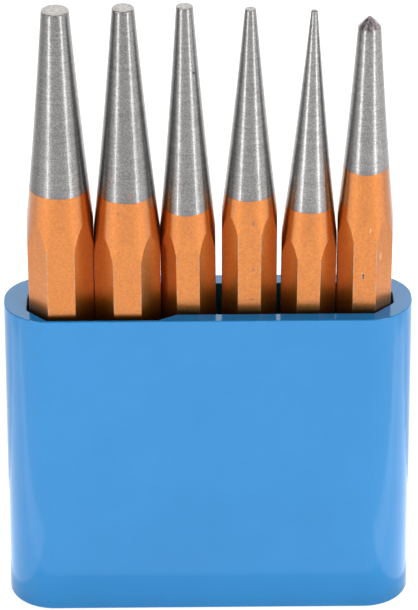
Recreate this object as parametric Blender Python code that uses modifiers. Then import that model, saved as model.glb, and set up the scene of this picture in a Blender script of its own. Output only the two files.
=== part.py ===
"""Six steel punches standing in a moulded plastic stand: five tapered drift punches and a centre punch.

Metres, +Z up, -Y is the front. The origin is the middle of the stand's footprint, on the surface it rests on.
The punches stand point up in one stepped slot, and each can be lifted straight out of it.
"""

import math
from collections import namedtuple

import bmesh
import bpy
from mathutils import Matrix

SET_NAME = "drift_punch_set"

# Stand: a drafted oblong block, widest at its foot, with one slot sunk from the top
BASE_LENGTH, BASE_DEPTH = 0.0769, 0.0189
RIM_LENGTH, RIM_DEPTH = 0.0752, 0.0170
STAND_HEIGHT = 0.0634
CORNER_RADIUS = 0.0088
CORNER_STEPS = 10
EDGE_ROUND = 0.0003
FLOOR_THICKNESS = 0.0020

# Slot, in plan: deep enough front to back for the thick shanks, then narrower for the thin ones
SLOT_LEFT, SLOT_RIGHT = -0.03325, 0.03410
SLOT_BACK = 0.00525
SLOT_FRONT_THICK, SLOT_FRONT_THIN = -0.00800, -0.00595
SLOT_STEP_START, SLOT_STEP_END = -0.00935, -0.00570
SLOT_CORNER_THICK, SLOT_CORNER_THIN = 0.0039, 0.0037

# Punches: octagonal bar ground to a slim taper
SHANK_SIDES = 8
THICK_FLATS, THIN_FLATS = 0.012, 0.010
THICK_AXIS_Y, THIN_AXIS_Y = -0.00110, -0.00035
FOOT_GAP = 0.0003
TURNED_STEPS = 32
TAPER_STEPS = 5
TAPER_HOLLOW = 0.00017  # how far the middle of the taper lies inside a straight line
TIP_ROUND = 0.00008
BLANK_ALLOWANCE = 0.00015  # the turned blank's radius beyond the bar's corners
STRUCK_FACE_SHARE = 0.36  # radius of the struck face as a share of the width across flats
STRUCK_CHAMFER = 0.0026
STRUCK_CROWN = 0.0003
CENTRE_POINT_HALF_ANGLE = math.radians(45)

Punch = namedtuple("Punch", "name flats tip length taper foot_x axis_y lean turn pointed")
PUNCHES = (
    Punch("drift_punch_5mm", THICK_FLATS, 0.0050, 0.1200, 0.0455, -0.02710, THICK_AXIS_Y, 0.24, 1.4, False),
    Punch("drift_punch_4mm", THICK_FLATS, 0.0040, 0.1204, 0.0480, -0.01470, THICK_AXIS_Y, 0.0, 0.3, False),
    Punch("drift_punch_3mm", THIN_FLATS, 0.0030, 0.1203, 0.0475, -0.00307, THIN_AXIS_Y, -0.43, 0.0, False),
    Punch("drift_punch_2mm", THIN_FLATS, 0.0020, 0.1197, 0.0430, 0.00757, THIN_AXIS_Y, 0.0, -0.6, False),
    Punch("drift_punch_1mm", THIN_FLATS, 0.0012, 0.1194, 0.0477, 0.01792, THIN_AXIS_Y, 0.41, -0.8, False),
    Punch("centre_punch_4mm", THIN_FLATS, 0.0041, 0.1182, 0.0430, 0.02875, THIN_AXIS_Y, -0.12, -1.5, True),
)

STAND_COLOUR, STAND_ROUGHNESS = (0.075, 0.310, 0.700), 0.35
LACQUER_COLOUR, LACQUER_ROUGHNESS, LACQUER_METALLIC = (0.72, 0.27, 0.07), 0.35, 0.6


def clear_scene():
    for obj in list(bpy.data.objects):
        bpy.data.objects.remove(obj, do_unlink=True)


def new_collection(name):
    collection = bpy.data.collections.new(name)
    bpy.context.scene.collection.children.link(collection)
    return collection


def new_material(name, colour, roughness, metallic):
    material = bpy.data.materials.new(name)
    material.use_nodes = True
    shader = material.node_tree.nodes["Principled BSDF"]
    shader.inputs["Base Color"].default_value = (*colour, 1.0)
    shader.inputs["Roughness"].default_value = roughness
    shader.inputs["Metallic"].default_value = metallic
    return material


def new_object(name, bm, collection, material=None):
    """An object that takes its mesh from bm, which is freed."""
    mesh = bpy.data.meshes.new(name)
    bmesh.ops.recalc_face_normals(bm, faces=bm.faces)
    bm.to_mesh(mesh)
    bm.free()
    if material:
        mesh.materials.append(material)
    obj = bpy.data.objects.new(name, mesh)
    collection.objects.link(obj)
    return obj


def make_cutter(obj):
    obj.hide_render = True
    obj.display_type = "WIRE"


def add_boolean(obj, operation, cutter):
    modifier = obj.modifiers.new(operation.lower(), "BOOLEAN")
    modifier.operation = operation
    modifier.solver = "EXACT"
    modifier.object = cutter


def extruded(outline, bottom, top):
    """A bmesh prism on the plan outline, and the vertices of its top face."""
    bm = bmesh.new()
    floor = bm.faces.new([bm.verts.new((x, y, bottom)) for x, y in outline])
    made = bmesh.ops.extrude_face_region(bm, geom=[floor])["geom"]
    upper = [item for item in made if isinstance(item, bmesh.types.BMVert)]
    bmesh.ops.translate(bm, verts=upper, vec=(0, 0, top - bottom))
    return bm, upper


def rounded_oblong(length, depth, radius):
    """Plan points of a rectangle with round corners, counter-clockwise."""
    points = []
    for quarter, (side_x, side_y) in enumerate(((1, 1), (-1, 1), (-1, -1), (1, -1))):
        centre_x = side_x * (length / 2 - radius)
        centre_y = side_y * (depth / 2 - radius)
        for step in range(CORNER_STEPS + 1):
            angle = math.pi / 2 * (quarter + step / CORNER_STEPS)
            points.append((centre_x + radius * math.cos(angle), centre_y + radius * math.sin(angle)))
    return points


def slot_outline():
    """Plan points of the slot, counter-clockwise from its front left corner."""
    return [
        (SLOT_LEFT + SLOT_CORNER_THICK, SLOT_FRONT_THICK),
        (SLOT_STEP_START, SLOT_FRONT_THICK),
        (SLOT_STEP_END, SLOT_FRONT_THIN),
        (SLOT_RIGHT - SLOT_CORNER_THIN, SLOT_FRONT_THIN),
        (SLOT_RIGHT, SLOT_FRONT_THIN + SLOT_CORNER_THIN),
        (SLOT_RIGHT, SLOT_BACK - SLOT_CORNER_THIN),
        (SLOT_RIGHT - SLOT_CORNER_THIN, SLOT_BACK),
        (SLOT_LEFT + SLOT_CORNER_THICK, SLOT_BACK),
        (SLOT_LEFT, SLOT_BACK - SLOT_CORNER_THICK),
        (SLOT_LEFT, SLOT_FRONT_THICK + SLOT_CORNER_THICK),
    ]


def build_stand(parts, cutters):
    block, rim = extruded(rounded_oblong(BASE_LENGTH, BASE_DEPTH, CORNER_RADIUS), 0, STAND_HEIGHT)
    bmesh.ops.scale(block, verts=rim, vec=(RIM_LENGTH / BASE_LENGTH, RIM_DEPTH / BASE_DEPTH, 1))
    plastic = new_material("blue_plastic", STAND_COLOUR, STAND_ROUGHNESS, 0.0)
    stand = new_object("stand", block, parts, plastic)

    bevel = stand.modifiers.new("edge_round", "BEVEL")
    bevel.width = EDGE_ROUND
    bevel.segments = 2
    bevel.limit_method = "ANGLE"
    bevel.angle_limit = math.radians(60)

    slot, _ = extruded(slot_outline(), FLOOR_THICKNESS, 2 * STAND_HEIGHT)
    cutter = new_object("slot_cutter", slot, cutters)
    make_cutter(cutter)
    add_boolean(stand, "DIFFERENCE", cutter)


def punch_profile(punch, corner):
    """(radius, height) points of the turned blank, from the tip on the axis down to the struck face."""
    tip = punch.tip / 2
    if punch.pointed:
        top = punch.length - tip / math.tan(CENTRE_POINT_HALF_ANGLE)
        points = [(0, punch.length), (tip, top)]
    else:
        top = punch.length - TIP_ROUND
        points = [(0, punch.length), (tip - TIP_ROUND, punch.length), (tip, top)]

    taper_end = punch.length - punch.taper
    for step in range(1, TAPER_STEPS + 1):
        share = step / TAPER_STEPS
        hollow = 4 * TAPER_HOLLOW * share * (1 - share)
        points.append((tip + share * (corner - tip) - hollow, top + share * (taper_end - top)))

    slope = (corner - points[-2][0]) / (points[-2][1] - taper_end)
    blank = corner + BLANK_ALLOWANCE
    points.append((blank, taper_end - BLANK_ALLOWANCE / slope))
    points.append((blank, STRUCK_CHAMFER))
    points.append((STRUCK_FACE_SHARE * punch.flats, STRUCK_CROWN))
    points.append((0, 0))
    return points


def build_punch(punch, parts, cutters, lacquer):
    corner = punch.flats / 2 / math.cos(math.pi / SHANK_SIDES)
    profile = bmesh.new()
    verts = [profile.verts.new((radius, 0, height)) for radius, height in punch_profile(punch, corner)]
    for upper, lower in zip(verts, verts[1:]):
        profile.edges.new((upper, lower))
    body = new_object(punch.name, profile, parts, lacquer)

    screw = body.modifiers.new("turned", "SCREW")
    screw.steps = screw.render_steps = TURNED_STEPS
    screw.use_merge_vertices = True
    screw.merge_threshold = 0.000001

    bar = bmesh.new()
    bmesh.ops.create_cone(
        bar,
        cap_ends=True,
        segments=SHANK_SIDES,
        radius1=corner,
        radius2=corner,
        depth=2 * punch.length,
        matrix=Matrix.Rotation(math.pi / SHANK_SIDES, 4, "Z"),
    )
    cutter = new_object(punch.name + "_bar", bar, cutters)
    cutter.parent = body
    make_cutter(cutter)
    add_boolean(body, "INTERSECT", cutter)

    body.location = (punch.foot_x, punch.axis_y, FLOOR_THICKNESS + FOOT_GAP)
    body.rotation_euler = (0, math.radians(punch.lean), math.radians(punch.turn))


def main():
    clear_scene()
    parts = new_collection(SET_NAME)
    cutters = new_collection("cutters")
    cutters.hide_render = True
    build_stand(parts, cutters)
    lacquer = new_material("orange_lacquer", LACQUER_COLOUR, LACQUER_ROUGHNESS, LACQUER_METALLIC)
    for punch in PUNCHES:
        build_punch(punch, parts, cutters, lacquer)


main()
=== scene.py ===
"""Looks for a set of drift punches and a centre punch in a blue plastic stand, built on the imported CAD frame.

Metres, +Z up, -Y is the front. Each punch is shown as two pieces, its ground steel taper and its lacquered
shank, and both ride on the punch's own body.
"""

import math
from collections import namedtuple

import bmesh
import bpy
import numpy as np
from mathutils import Matrix, Vector


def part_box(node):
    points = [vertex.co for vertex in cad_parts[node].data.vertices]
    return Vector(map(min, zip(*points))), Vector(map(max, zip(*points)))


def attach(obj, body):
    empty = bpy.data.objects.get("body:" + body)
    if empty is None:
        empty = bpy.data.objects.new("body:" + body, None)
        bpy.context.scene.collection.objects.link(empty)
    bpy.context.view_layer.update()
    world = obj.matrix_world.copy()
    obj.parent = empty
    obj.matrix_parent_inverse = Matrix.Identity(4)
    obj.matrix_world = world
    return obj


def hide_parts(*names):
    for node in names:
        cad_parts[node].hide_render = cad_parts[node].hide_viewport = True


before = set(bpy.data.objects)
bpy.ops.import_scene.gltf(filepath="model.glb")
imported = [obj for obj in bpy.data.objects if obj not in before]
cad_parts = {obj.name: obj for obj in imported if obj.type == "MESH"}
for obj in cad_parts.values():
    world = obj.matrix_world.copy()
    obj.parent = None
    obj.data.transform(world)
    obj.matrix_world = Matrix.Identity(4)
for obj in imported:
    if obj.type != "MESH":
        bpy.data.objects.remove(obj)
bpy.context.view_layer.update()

# Punches: octagonal bar ground to a slim, slightly hollow taper
SIDES = 8
SIDE_ANGLE = 2 * math.pi / SIDES
TAPER_HOLLOW = 0.00017  # how far the middle of the taper lies inside a straight line
EDGE_FILLET = 0.00015
LACQUER_THICKNESS = 0.00002
LACQUER_WAVER = 0.00006  # how far the lacquer's upper edge wanders up and down
WAVER_TURNS = (2, 3, 5, 9, 14)  # waves round the punch in that edge, the larger ones first
STRUCK_FACE_SHARE = 0.36  # radius of the struck face as a share of the width across flats
STRUCK_CHAMFER = 0.0026
STRUCK_CROWN = 0.0003
STRUCK_ROUND = 0.00004
BLANK_ALLOWANCE = 0.00015  # the turned blank's radius beyond the bar's corners
POINT_HALF_ANGLE = math.radians(45)
POINT_BULGE = 0.75  # 1 is a straight cone, and less is a rounder one
POINT_END = 0.00003

# Mesh: columns round each punch, and rings as shares of the way along each of its zones
FLAT_COLUMNS = 6
EDGE_MARGIN = 0.00008
FILLET_COLUMNS = 4
STRUCK_RINGS = (0.4, 0.75, 0.97)
CHAMFER_RINGS = (0.1, 0.9, 1.0)
BAR_RINGS = (0.004, 0.2, 0.4, 0.6, 0.8, 0.95, 0.997, 1.0)
NECK_RINGS = (0.01, 0.1, 0.25, 0.45, 0.7, 0.9, 1.0)
TAPER_ROWS = 36
TIP_ROUND_TURNS = (30, 60, 90)
TIP_FACE_RINGS = (0.9, 0.6, 0.3)
POINT_RINGS = (0.02, 0.15, 0.3, 0.45, 0.6, 0.75, 0.88, 0.96)
POINT_LAST_RING = 0.03
FACE_WEIGHT = 80
TOP_TOLERANCE = 0.00004

# Bright is the length of bare steel, drop tilts the lacquer's edge from front to back, turn is in degrees
# about the axis, and shine is how bright the ground steel is
Punch = namedtuple("Punch", "node body flats tip taper bright drop turn tip_round shine pointed")
THICK, THIN = 0.012, 0.010
PUNCHES = (
    Punch("drift_punch_5mm", "punch_5mm", THICK, 0.0050, 0.0455, 0.0347, -0.0001, 1.4, 0.00022, 1.0, False),
    Punch("drift_punch_4mm", "punch_4mm", THICK, 0.0040, 0.0480, 0.03615, -0.0001, 0.3, 0.00020, 0.97, False),
    Punch("drift_punch_3mm", "punch_3mm", THIN, 0.0030, 0.0475, 0.03933, -0.0006, -0.8, 0.00018, 1.03, False),
    Punch("drift_punch_2mm", "punch_2mm", THIN, 0.0020, 0.0430, 0.0359, -0.0001, -0.6, 0.00015, 1.04, False),
    Punch("drift_punch_1mm", "punch_1mm", THIN, 0.0012, 0.0477, 0.03826, 0.0003, -0.8, 0.00035, 1.16, False),
    Punch("centre_punch_4mm", "centre_punch", THIN, 0.0041, 0.0430, 0.02945, -0.0003, -1.5, 0.0001, 1.07, True),
)

# Colours, the darker of each pair first
STEEL_COLOURS = (0.21, 0.207, 0.203), (0.395, 0.39, 0.383)
# Painted reflection: a pale blue mixed into the ground steel's colour just above the lacquer line
PAINTED_BLUE_REFLECTION = (0.24, 0.28, 0.36)
OVERSPRAY = (0.42, 0.16, 0.03)
FACE_COLOURS = (0.17, 0.16, 0.152), (0.35, 0.335, 0.32)
POINT_COLOURS = (0.15, 0.125, 0.13), (0.46, 0.40, 0.41)
LACQUER_COLOURS = (0.445, 0.135, 0.008), (0.48, 0.150, 0.012)
LACQUER_SPECKLE = (0.335, 0.090, 0.004)
WORN_EDGE = (0.30, 0.22, 0.15)
PLASTIC_COLOURS = (0.009, 0.162, 0.397), (0.011, 0.176, 0.429)
FLOOR_SHADE = 0.40

# Chips, flecks and pits: each one's place in degrees round from the front and metres up from the punch's foot
CHIP, PALE, DOT = (0.03, 0.015, 0.01), (0.50, 0.26, 0.11), (0.22, 0.085, 0.03)
FLECK, PIT = (0.44, 0.27, 0.16), (0.05, 0.05, 0.05)
MARK_DEPTH = 0.004  # how far inwards a mark reaches, so that it covers the surface for certain
Mark = namedtuple("Mark", "body on degrees height width length colour halo")
MARKS = (
    Mark("centre_punch", "lacquer", -3, 0.0685, 0.00042, 0.0013, CHIP, PALE),
    Mark("centre_punch", "lacquer", 10, 0.0779, 0.0003, 0.0012, PALE, None),
    Mark("centre_punch", "lacquer", 34, 0.0722, 0.0003, 0.0016, PALE, None),
    Mark("punch_2mm", "lacquer", 8, 0.0795, 0.0004, 0.0010, DOT, None),
    Mark("punch_2mm", "lacquer", 8, 0.0701, 0.0005, 0.0007, DOT, None),
    Mark("punch_2mm", "lacquer", 4, 0.0638, 0.0011, 0.0003, DOT, None),
    Mark("punch_4mm", "lacquer", -15, 0.0823, 0.0006, 0.0006, DOT, None),
    Mark("punch_4mm", "steel", 8, 0.0858, 0.0010, 0.0006, FLECK, None),
    Mark("punch_3mm", "steel", 38, 0.1082, 0.0004, 0.0005, PIT, None),
)

# Stand: a drafted oblong block with one stepped slot sunk from the top
CORNER_RADIUS = 0.0088
RIM_LENGTH, RIM_DEPTH = 0.0752, 0.0170
SLOT_LEFT, SLOT_RIGHT = -0.03325, 0.03410
SLOT_BACK = 0.00525
SLOT_FRONT_THICK, SLOT_FRONT_THIN = -0.00800, -0.00595
SLOT_STEP_START, SLOT_STEP_END = -0.00935, -0.00570
SLOT_CORNER_THICK, SLOT_CORNER_THIN = 0.0039, 0.0037
FLOOR_THICKNESS = 0.0020
STAND_CORNER_STEPS = 24
STAND_EDGE_ROUND = 0.00018

# Camera
CAMERA_PLACE = (-0.004366, -0.489919, 0.348622)
CAMERA_PITCH, CAMERA_YAW, CAMERA_ROLL = 0.52957, 0.00932, -0.00245
CAMERA_LENS, CAMERA_SENSOR = 181.38, 36.0

# Studio: a glowing white floor, panels behind, to the right and above, and a tall strip light on either side
WORLD_RADIANCE = 0.09
STRIP_AZIMUTH = math.radians(45)
STRIP_DISTANCE, STRIP_WIDTH, STRIP_HEIGHT = 0.8, 0.22, 0.9
STRIP_RADIANCE = 5.8
Panel = namedtuple("Panel", "name place target width height radiance")
BACK_PANEL = Panel("back_panel", (0, 1.5, 1.0), (0, 0, 1.0), 3.4, 2.0, 1.9)
RIGHT_PANEL = Panel("right_panel", (1.7, 0.3, 0.8), (0, 0.3, 0.8), 2.2, 1.6, 1.0)
TOP_PANEL = Panel("top_panel", (0, 0, 1.6), (0, 0, 0), 1.2, 1.2, 0.9)
Board = namedtuple("Board", "name x_range y_range radiance")
BOARDS = (
    Board("front_board", (-0.6, 0.6), (-0.75, -0.030), 0.53),
    Board("near_front_board", (-0.6, 0.6), (-0.75, -0.020), 0.53),
    Board("left_board", (-0.14, -0.0418), (-0.035, 0.03), 0.7),
    Board("right_board", (0.0418, 0.14), (-0.035, 0.03), 0.9),
)
BOARD_LIFT = 0.0005
FLOOR_SIZE, FLOOR_DROP = 6, 0.0002
FLOOR_GLOW = 0.8


def new_material(name):
    material = bpy.data.materials.new(name)
    material.use_nodes = True
    return material, material.node_tree, material.node_tree.nodes["Principled BSDF"]


def add_node(tree, kind, inputs=None, **settings):
    """A node with its settings, and its inputs as values or as sockets to link from."""
    node = tree.nodes.new(kind)
    for key, value in settings.items():
        setattr(node, key, value)
    for key, value in (inputs or {}).items():
        if isinstance(value, bpy.types.NodeSocket):
            tree.links.new(value, node.inputs[key])
        else:
            node.inputs[key].default_value = value
    return node


def noise(tree, vector, scale, detail=2.0, roughness=0.5):
    """Noise of about 0 to 1 at so many features a metre, which may differ along X, Y and Z."""
    mapped = add_node(tree, "ShaderNodeVectorMath", {0: vector, 1: scale}, operation="MULTIPLY")
    inputs = {"Vector": mapped.outputs[0], "Scale": 1.0, "Detail": detail, "Roughness": roughness}
    return add_node(tree, "ShaderNodeTexNoise", inputs).outputs["Fac"]


def remap(tree, value, low, high, to_low, to_high):
    inputs = {"Value": value, "From Min": low, "From Max": high, "To Min": to_low, "To Max": to_high}
    return add_node(tree, "ShaderNodeMapRange", inputs).outputs["Result"]


def mixed(tree, share, first, second):
    """Colour between first and second, each a colour or a socket."""
    node = add_node(tree, "ShaderNodeMix", data_type="RGBA")
    for index, value in ((0, share), (6, first), (7, second)):
        if isinstance(value, bpy.types.NodeSocket):
            tree.links.new(value, node.inputs[index])
        else:
            node.inputs[index].default_value = value if index == 0 else (*value, 1.0)
    return node.outputs[2]


def calculate(tree, operation, first, second=0.0):
    return add_node(tree, "ShaderNodeMath", {0: first, 1: second}, operation=operation).outputs[0]


def bump(tree, height, strength, distance):
    inputs = {"Height": height, "Strength": strength, "Distance": distance}
    return add_node(tree, "ShaderNodeBump", inputs).outputs["Normal"]


def attribute(tree, name, output):
    return add_node(tree, "ShaderNodeAttribute", attribute_name=name).outputs[output]


def punch_places(tree, punch):
    """The place about the punch's axis, and the same shifted so that no two punches share a grain."""
    local = attribute(tree, "about_axis", "Vector")
    shift = (0.05 * PUNCHES.index(punch), 0.0, 0.0)
    return local, add_node(tree, "ShaderNodeVectorMath", {0: local, 1: shift}, operation="ADD").outputs[0]


def spot(tree, local, radius, mark, grow):
    """1 on the mark, with a ragged rim, and 0 away from it. Grow makes it larger than the mark's own size."""
    turn = math.radians(mark.degrees)
    centre = (radius * math.sin(turn), -radius * math.cos(turn), mark.height)
    scale = (2 / mark.width, 1 / MARK_DEPTH, 2 / mark.length)
    offset = add_node(tree, "ShaderNodeVectorMath", {0: local, 1: centre}, operation="SUBTRACT").outputs[0]
    scaled = add_node(tree, "ShaderNodeVectorMath", {0: offset, 1: scale}, operation="MULTIPLY").outputs[0]
    away = add_node(tree, "ShaderNodeVectorMath", {0: scaled}, operation="LENGTH").outputs["Value"]
    rim = remap(tree, noise(tree, local, (2500, 2500, 2500)), 0.3, 0.7, -0.35, 0.35)
    ragged = calculate(tree, "ADD", away, rim)
    return remap(tree, ragged, 0.75 * grow, 1.15 * grow, 1.0, 0.0)


def add_marks(tree, punch, part, local, colour, height):
    """The colour and bump height with the punch's own chips and flecks in them."""
    for mark in MARKS:
        if (mark.body, mark.on) != (punch.body, part):
            continue
        radius = punch_radius(punch, mark.height)
        if mark.halo:
            colour = mixed(tree, spot(tree, local, radius, mark, 1.25), colour, mark.halo)
        share = spot(tree, local, radius, mark, 1.0)
        colour = mixed(tree, share, colour, mark.colour)
        height = calculate(tree, "SUBTRACT", height, share)
    return colour, height


def ground_steel(punch):
    """Bright steel with a fine turned grain, flecked with lacquer near its lower end, where a blue reflection
    is also painted just above the lacquer's edge.
    """
    material, tree, shader = new_material("ground_steel_" + punch.body)
    local, place = punch_places(tree, punch)
    fine = noise(tree, place, (3800, 3800, 4000), 2.0, 0.6)
    rings = noise(tree, place, (160, 160, 2200), 2.0, 0.6)
    fine_part = calculate(tree, "MULTIPLY", fine, 0.75)
    grain = calculate(tree, "ADD", fine_part, calculate(tree, "MULTIPLY", rings, 0.25))
    dark, light = ([shade * punch.shine for shade in colour] for colour in STEEL_COLOURS)
    colour = mixed(tree, remap(tree, grain, 0.40, 0.60, 0, 1), dark, light)
    rise = attribute(tree, "rise", "Fac")
    # Painted reflection: up to 30% of a pale blue mixed in at the lacquer line, fading out 1.2 mm above it
    reflection_share = remap(tree, rise, 0.0, 0.0012, 0.30, 0.0)
    colour = mixed(tree, reflection_share, colour, PAINTED_BLUE_REFLECTION)
    near_line = remap(tree, rise, 0.0, 0.0006, 0.9, 0.0)
    haze = calculate(tree, "MULTIPLY", near_line, remap(tree, fine, 0.45, 0.6, 0.0, 0.6))
    colour = mixed(tree, haze, colour, OVERSPRAY)
    colour, height = add_marks(tree, punch, "steel", local, colour, grain)
    tree.links.new(colour, shader.inputs["Base Color"])
    tree.links.new(remap(tree, grain, 0.35, 0.65, 0.36, 0.44), shader.inputs["Roughness"])
    tree.links.new(bump(tree, height, 0.08, 0.00002), shader.inputs["Normal"])
    along = add_node(tree, "ShaderNodeCombineXYZ", {"Z": 1.0})
    tree.links.new(along.outputs[0], shader.inputs["Tangent"])
    shader.inputs["Metallic"].default_value = 1.0
    shader.inputs["Anisotropic"].default_value = 0.97
    return material


def cut_steel(punch):
    """The flat tip faces, darker in a ring near the rim, and the centre punch's roughly ground point."""
    material, tree, shader = new_material("cut_steel_" + punch.body)
    local, place = punch_places(tree, punch)
    if punch.pointed:
        scale, depth = (2600, 2600, 1300), 0.00009
        dark, light = POINT_COLOURS
    else:
        scale, depth = (1400, 2600, 4500), 0.00003
        dark, light = FACE_COLOURS
    grain = noise(tree, place, scale, 3.0, 0.6)
    colour = mixed(tree, remap(tree, grain, 0.38, 0.62, 0, 1), dark, light)
    if not punch.pointed:
        flat = add_node(tree, "ShaderNodeVectorMath", {0: local, 1: (1, 1, 0)}, operation="MULTIPLY")
        reach = add_node(tree, "ShaderNodeVectorMath", {0: flat.outputs[0]}, operation="LENGTH")
        past_ring = calculate(tree, "SUBTRACT", reach.outputs["Value"], 0.78 * punch.tip / 2)
        from_ring = calculate(tree, "ABSOLUTE", past_ring)
        ring = remap(tree, from_ring, 0.0, 0.09 * punch.tip, 0.45, 0.0)
        colour = mixed(tree, ring, colour, dark)
    tree.links.new(colour, shader.inputs["Base Color"])
    tree.links.new(remap(tree, grain, 0.3, 0.7, 0.32, 0.5), shader.inputs["Roughness"])
    tree.links.new(bump(tree, grain, 0.5, depth), shader.inputs["Normal"])
    shader.inputs["Metallic"].default_value = 1.0
    return material


def orange_lacquer(punch):
    """Translucent orange lacquer over steel, rubbed thin along the bar's edges."""
    material, tree, shader = new_material("orange_lacquer_" + punch.body)
    local, place = punch_places(tree, punch)
    cloud = noise(tree, place, (350, 350, 160), 4.0, 0.6)
    speckle = noise(tree, place, (2300, 2300, 3000), 3.0, 0.65)
    colour = mixed(tree, remap(tree, cloud, 0.3, 0.7, 0, 1), *LACQUER_COLOURS)
    colour = mixed(tree, remap(tree, speckle, 0.38, 0.66, 0.0, 0.8), colour, LACQUER_SPECKLE)
    edge = attribute(tree, "edge", "Fac")
    patchy = noise(tree, place, (900, 900, 700), 4.0, 0.65)
    wear = calculate(tree, "MULTIPLY", edge, remap(tree, patchy, 0.44, 0.60, 0.0, 0.75))
    colour = mixed(tree, wear, colour, WORN_EDGE)
    colour, height = add_marks(tree, punch, "lacquer", local, colour, speckle)
    tree.links.new(colour, shader.inputs["Base Color"])
    tree.links.new(remap(tree, speckle, 0.3, 0.7, 0.30, 0.38), shader.inputs["Roughness"])
    tree.links.new(bump(tree, height, 0.12, 0.00002), shader.inputs["Normal"])
    shader.inputs["Metallic"].default_value = 1.0
    shader.inputs["Coat Weight"].default_value = 1.0
    shader.inputs["Coat Roughness"].default_value = 0.2
    return material


def blue_plastic():
    """Smooth moulded plastic, slightly mottled, with a fine grain."""
    material, tree, shader = new_material("blue_plastic")
    place = add_node(tree, "ShaderNodeTexCoord").outputs["Object"]
    cloud = noise(tree, place, (60, 60, 60), 4.0, 0.6)
    grain = noise(tree, place, (2500, 2500, 2500), 2.0, 0.6)
    colour = mixed(tree, remap(tree, cloud, 0.3, 0.7, 0, 1), *PLASTIC_COLOURS)
    tree.links.new(colour, shader.inputs["Base Color"])
    tree.links.new(remap(tree, cloud, 0.3, 0.7, 0.08, 0.14), shader.inputs["Roughness"])
    tree.links.new(bump(tree, grain, 0.06, 0.00002), shader.inputs["Normal"])
    shader.inputs["IOR"].default_value = 1.41
    return material


def new_object(name, bm, materials):
    """An object that takes its mesh from bm, which is freed."""
    mesh = bpy.data.meshes.new(name)
    bmesh.ops.recalc_face_normals(bm, faces=bm.faces)
    bm.to_mesh(mesh)
    bm.free()
    for material in materials:
        mesh.materials.append(material)
    obj = bpy.data.objects.new(name, mesh)
    bpy.context.scene.collection.objects.link(obj)
    return obj


def bar_section(flats):
    """(angle, radius, edge) of the octagonal bar's outline, with small fillets at its corners."""
    columns = []
    centre = (flats / 2 - EDGE_FILLET) / math.cos(SIDE_ANGLE / 2)
    half = (flats / 2 - EDGE_FILLET) * math.tan(SIDE_ANGLE / 2)
    for side in range(SIDES):
        normal = side * SIDE_ANGLE
        out = Vector((math.cos(normal), math.sin(normal)))
        across = Vector((-math.sin(normal), math.cos(normal)))
        for k in range(FLAT_COLUMNS + 1):
            step = (half - EDGE_MARGIN) * (2 * k / FLAT_COLUMNS - 1)
            columns.append((out * flats / 2 + across * step, 0.0))
        middle = Matrix.Rotation(normal + SIDE_ANGLE / 2, 2) @ Vector((centre, 0))
        for k in range(FILLET_COLUMNS + 1):
            turn = normal + SIDE_ANGLE * k / FILLET_COLUMNS
            point = middle + EDGE_FILLET * Vector((math.cos(turn), math.sin(turn)))
            columns.append((point, 1.0))
    return [(math.atan2(p.y, p.x), p.length, edge) for p, edge in columns]


def punch_radius(punch, height):
    """Distance from the axis at a height above the foot, near enough to place a mark."""
    foot, tip = punch_axis(punch.node)
    share = min(1.0, max(0.0, (tip.z - foot.z - height) / punch.taper))
    return punch.tip / 2 + share * (punch.flats - punch.tip) / 2


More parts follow.
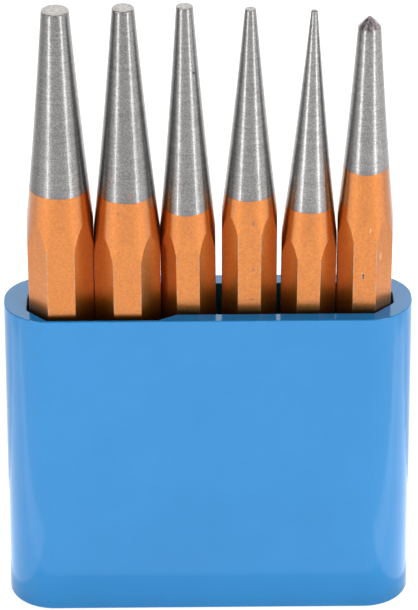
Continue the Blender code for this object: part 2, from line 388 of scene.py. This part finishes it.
class PunchShape:
    """One punch in its own frame: its foot at the origin and its axis along +Z."""

    def __init__(self, punch, length):
        self.punch, self.length = punch, length
        self.section = bar_section(punch.flats + 2 * LACQUER_THICKNESS)
        self.tip = punch.tip / 2
        self.corner = punch.flats / 2 / math.cos(SIDE_ANGLE / 2)
        drop = self.tip / math.tan(POINT_HALF_ANGLE) if punch.pointed else punch.tip_round
        self.top = length - drop
        self.taper_end = length - punch.taper
        self.struck = STRUCK_FACE_SHARE * punch.flats

    def cone_radius(self, height):
        """Radius of the bare steel taper."""
        share = (self.top - height) / (self.top - self.taper_end)
        return self.tip + share * (self.corner - self.tip) - 4 * TAPER_HOLLOW * share * (1 - share)

    def facet_start(self, radius):
        """Height at which the lacquered taper is as thick as the bar's outline is there."""
        a, b = 4 * TAPER_HOLLOW, self.corner - self.tip - 4 * TAPER_HOLLOW
        share = (math.sqrt(b * b + 4 * a * (radius - LACQUER_THICKNESS - self.tip)) - b) / (2 * a)
        return self.top - share * (self.top - self.taper_end)

    def struck_chamfer_top(self, radius):
        """Height at which the chamfer round the struck face reaches the radius."""
        slope = (self.corner + BLANK_ALLOWANCE - self.struck) / (STRUCK_CHAMFER - STRUCK_CROWN)
        return STRUCK_CROWN + (radius - self.struck) / slope

    def lacquer_line(self, angle):
        """Height of the lacquer's upper edge, which tilts from front to back and wavers a little."""
        own = self.punch.bright * 9000
        waver = sum(math.sin(k * angle + 1.7 * k * k + own) / k for k in WAVER_TURNS)
        drop = self.punch.drop * (1 + math.sin(angle))
        return self.length - self.punch.bright - drop + LACQUER_WAVER * waver

    def lacquer_rows(self):
        """Rings of (radius, height, edge) from the struck face up to the lacquer line."""
        rows = [[(self.struck * k, STRUCK_CROWN * k * k, 0)] * len(self.section) for k in STRUCK_RINGS]
        rows.append([(self.struck, STRUCK_CROWN + STRUCK_ROUND, 0)] * len(self.section))
        for share in CHAMFER_RINGS:
            ring = []
            for _, radius, _ in self.section:
                top = self.struck_chamfer_top(radius)
                height = STRUCK_CROWN + share * (top - STRUCK_CROWN)
                ring.append((self.struck + share * (radius - self.struck), height, 0))
            rows.append(ring)
        for share in BAR_RINGS:
            ring = []
            for _, radius, edge in self.section:
                low, high = self.struck_chamfer_top(radius), self.facet_start(radius)
                ring.append((radius, low + share * (high - low), edge))
            rows.append(ring)
        for share in NECK_RINGS:
            ring = []
            for angle, radius, _ in self.section:
                low, high = self.facet_start(radius), self.lacquer_line(angle)
                height = low + share * (high - low)
                ring.append((self.cone_radius(height) + LACQUER_THICKNESS, height, 0))
            rows.append(ring)
        return rows

    def steel_rows(self):
        """Rings from the lacquer line up to the tip."""
        rows = []
        for k in range(TAPER_ROWS + 1):
            ring = []
            for angle, _, _ in self.section:
                low = self.lacquer_line(angle)
                height = low + (self.top - low) * k / TAPER_ROWS
                ring.append((self.cone_radius(height), height, 0))
            rows.append(ring)
        return rows

    def tip_rows(self):
        """Rings over the rounded tip edge and across the tip face, or up the centre punch's point."""
        outer = self.tip
        rows = []
        if self.punch.pointed:
            for share in POINT_RINGS:
                rows.append((outer * (1 - share) ** POINT_BULGE, self.top + share * (self.length - self.top)))
            rows.append((outer * POINT_LAST_RING, self.length - POINT_END))
        else:
            small = self.punch.tip_round
            for degrees in TIP_ROUND_TURNS:
                turn = math.radians(degrees)
                rows.append((outer - small * (1 - math.cos(turn)), self.top + small * math.sin(turn)))
            rows.extend((rows[-1][0] * share, self.length) for share in TIP_FACE_RINGS)
        return [[(radius, height, 0)] * len(self.section) for radius, height in rows]


def skin(name, shape, rows, bottom, top, cap_from, materials, pose):
    """A closed piece through the rings, from a point at height bottom to one at height top.

    Rings from number cap_from up take the second material. Each vertex keeps its place about the punch's
    axis, how far it is above the lacquer's upper edge, and whether it is on one of the bar's edges.
    """
    bm = bmesh.new()
    layers = bm.verts.layers
    about = layers.float_vector.new("about_axis")
    rise, edge_layer = layers.float.new("rise"), layers.float.new("edge")

    def vertex(angle, radius, height, edge):
        local = Vector((radius * math.cos(angle), radius * math.sin(angle), height))
        made = bm.verts.new(pose @ local)
        made[about], made[edge_layer] = local, edge
        made[rise] = height - shape.lacquer_line(angle)
        return made

    angles = [column[0] for column in shape.section]
    rings = [[vertex(a, *point) for a, point in zip(angles, ring)] for ring in rows]
    for level, (lower, upper) in enumerate(zip(rings, rings[1:])):
        for k in range(len(lower)):
            n = (k + 1) % len(lower)
            face = bm.faces.new((lower[k], lower[n], upper[n], upper[k]))
            face.smooth = True
            face.material_index = int(level + 1 >= cap_from)
    for ring, height, flip in ((rings[0], bottom, True), (rings[-1], top, False)):
        pole = vertex(0.0, 0.0, height, 0)
        for k in range(len(ring)):
            pair = (ring[k], ring[(k + 1) % len(ring)])
            face = bm.faces.new((*reversed(pair), pole) if flip else (*pair, pole))
            face.smooth = True
            face.material_index = int(not flip and cap_from < len(rows) + 1)
    for ring in (rings[0], rings[-1], rings[min(cap_from, len(rings) - 1)]):
        for k in range(len(ring)):
            bm.edges.get((ring[k], ring[(k + 1) % len(ring)])).smooth = False
    piece = new_object(name, bm, materials)
    weighted = piece.modifiers.new("flat_faces_stay_flat", "WEIGHTED_NORMAL")
    weighted.weight = FACE_WEIGHT
    weighted.keep_sharp = True
    return piece


def punch_axis(node):
    """The lowest point of a CAD punch, and the middle of its top."""
    points = np.unique([v.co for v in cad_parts[node].data.vertices], axis=0)
    heights = points[:, 2]
    return Vector(points[heights.argmin()]), Vector(points[heights > heights.max() - TOP_TOLERANCE].mean(0))


def build_punch(punch):
    foot, tip = punch_axis(punch.node)
    axis = (tip - foot).normalized()
    upright = Vector((0, 0, 1)).rotation_difference(axis).to_matrix().to_4x4()
    turned = Matrix.Rotation(math.radians(punch.turn), 4, "Z")
    pose = Matrix.Translation(foot) @ upright @ turned
    shape = PunchShape(punch, (tip - foot).length)

    rows = shape.lacquer_rows()
    line = shape.length - punch.bright
    shank = skin(punch.body + "_shank", shape, rows, 0, line, len(rows) + 1, [orange_lacquer(punch)], pose)

    rows = shape.steel_rows()
    cap_from = len(rows)
    rows += shape.tip_rows()
    metals = [ground_steel(punch), cut_steel(punch)]
    taper = skin(punch.body + "_taper", shape, rows, line, shape.length, cap_from, metals, pose)

    for piece in (shank, taper):
        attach(piece, punch.body)
        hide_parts(punch.node)


def extruded(outline, bottom, top):
    """A bmesh prism on the plan outline, and the vertices of its top face."""
    bm = bmesh.new()
    floor = bm.faces.new([bm.verts.new((x, y, bottom)) for x, y in outline])
    made = bmesh.ops.extrude_face_region(bm, geom=[floor])["geom"]
    upper = [item for item in made if isinstance(item, bmesh.types.BMVert)]
    bmesh.ops.translate(bm, verts=upper, vec=(0, 0, top - bottom))
    return bm, upper


def rounded_oblong(length, depth, radius):
    """Plan points of a rectangle with round corners, counter-clockwise."""
    points = []
    for quarter, (side_x, side_y) in enumerate(((1, 1), (-1, 1), (-1, -1), (1, -1))):
        centre_x = side_x * (length / 2 - radius)
        centre_y = side_y * (depth / 2 - radius)
        for step in range(STAND_CORNER_STEPS + 1):
            angle = math.pi / 2 * (quarter + step / STAND_CORNER_STEPS)
            points.append((centre_x + radius * math.cos(angle), centre_y + radius * math.sin(angle)))
    return points


def slot_outline():
    """Plan points of the slot, counter-clockwise from its front left corner."""
    return [
        (SLOT_LEFT + SLOT_CORNER_THICK, SLOT_FRONT_THICK),
        (SLOT_STEP_START, SLOT_FRONT_THICK),
        (SLOT_STEP_END, SLOT_FRONT_THIN),
        (SLOT_RIGHT - SLOT_CORNER_THIN, SLOT_FRONT_THIN),
        (SLOT_RIGHT, SLOT_FRONT_THIN + SLOT_CORNER_THIN),
        (SLOT_RIGHT, SLOT_BACK - SLOT_CORNER_THIN),
        (SLOT_RIGHT - SLOT_CORNER_THIN, SLOT_BACK),
        (SLOT_LEFT + SLOT_CORNER_THICK, SLOT_BACK),
        (SLOT_LEFT, SLOT_BACK - SLOT_CORNER_THICK),
        (SLOT_LEFT, SLOT_FRONT_THICK + SLOT_CORNER_THICK),
    ]


def build_stand(plastic):
    low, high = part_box("stand")
    length, depth = high.x - low.x, high.y - low.y
    block, rim = extruded(rounded_oblong(length, depth, CORNER_RADIUS), low.z, high.z)
    bmesh.ops.scale(block, verts=rim, vec=(RIM_LENGTH / length, RIM_DEPTH / depth, 1))
    stand = new_object("stand_body", block, [plastic])
    slot, _ = extruded(slot_outline(), FLOOR_THICKNESS, 2 * high.z)
    cutter = new_object("slot_cutter", slot, [])
    cut = stand.modifiers.new("slot", "BOOLEAN")
    cut.solver = "EXACT"
    cut.object = cutter
    bevel = stand.modifiers.new("edges", "BEVEL")
    bevel.width = STAND_EDGE_ROUND
    bevel.segments = 3
    bevel.limit_method = "ANGLE"
    bevel.angle_limit = math.radians(35)
    bevel.harden_normals = True
    made = bpy.data.meshes.new_from_object(stand.evaluated_get(bpy.context.evaluated_depsgraph_get()))
    stand.modifiers.clear()
    stand.data = made
    bpy.data.objects.remove(cutter)
    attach(stand, "stand")
    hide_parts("stand")


def build_floor():
    bpy.ops.mesh.primitive_plane_add(size=FLOOR_SIZE, location=(0, 0, -FLOOR_DROP))
    floor = bpy.context.object
    floor.name = "floor"
    material, tree, shader = new_material("floor_white")
    shader.inputs["Base Color"].default_value = (FLOOR_SHADE, FLOOR_SHADE, FLOOR_SHADE, 1)
    shader.inputs["Roughness"].default_value = 0.8
    shader.inputs["Specular IOR Level"].default_value = 0.1
    shader.inputs["Emission Color"].default_value = (1, 1, 1, 1)
    shader.inputs["Emission Strength"].default_value = FLOOR_GLOW
    floor.data.materials.append(material)


def area_light(name, place, target, width, height, radiance):
    data = bpy.data.lights.new(name, "AREA")
    data.shape = "RECTANGLE"
    data.size, data.size_y = width, height
    data.energy = 4 * width * height * radiance
    light = bpy.data.objects.new(name, data)
    bpy.context.scene.collection.objects.link(light)
    light.location = place
    light.rotation_euler = (Vector(target) - Vector(place)).to_track_quat("-Z", "Y").to_euler()


def floor_board(board):
    """A glowing board that lies on the floor."""
    place = (sum(board.x_range) / 2, sum(board.y_range) / 2, BOARD_LIFT)
    width, depth = (high - low for low, high in (board.x_range, board.y_range))
    area_light(board.name, place, (*place[:2], 1), width, depth, board.radiance)


def build_lights():
    world = bpy.data.worlds.new("studio")
    bpy.context.scene.world = world
    world.use_nodes = True
    background = world.node_tree.nodes["Background"]
    background.inputs["Color"].default_value = (1, 1, 1, 1)
    background.inputs["Strength"].default_value = WORLD_RADIANCE
    for side in (-1, 1):
        angle = STRIP_AZIMUTH * side
        place = (STRIP_DISTANCE * math.sin(angle), -STRIP_DISTANCE * math.cos(angle), STRIP_HEIGHT / 2)
        area_light("strip_light", place, (0, 0, STRIP_HEIGHT / 2), STRIP_WIDTH, STRIP_HEIGHT, STRIP_RADIANCE)
    area_light(*BACK_PANEL)
    area_light(*RIGHT_PANEL)
    for board in BOARDS:
        floor_board(board)
    area_light(*TOP_PANEL)


def build_camera():
    data = bpy.data.cameras.new("camera")
    data.lens = CAMERA_LENS
    data.sensor_width = CAMERA_SENSOR
    data.clip_start, data.clip_end = 0.01, 20
    camera = bpy.data.objects.new("camera", data)
    bpy.context.scene.collection.objects.link(camera)
    aim = Matrix.Rotation(-CAMERA_YAW, 4, "Z") @ Matrix.Rotation(math.pi / 2 - CAMERA_PITCH, 4, "X")
    camera.matrix_world = Matrix.Translation(CAMERA_PLACE) @ aim @ Matrix.Rotation(CAMERA_ROLL, 4, "Z")
    bpy.context.scene.camera = camera


build_camera()
for punch in PUNCHES:
    build_punch(punch)
build_stand(blue_plastic())
build_floor()
build_lights()
bpy.context.scene.view_settings.view_transform = "Standard"
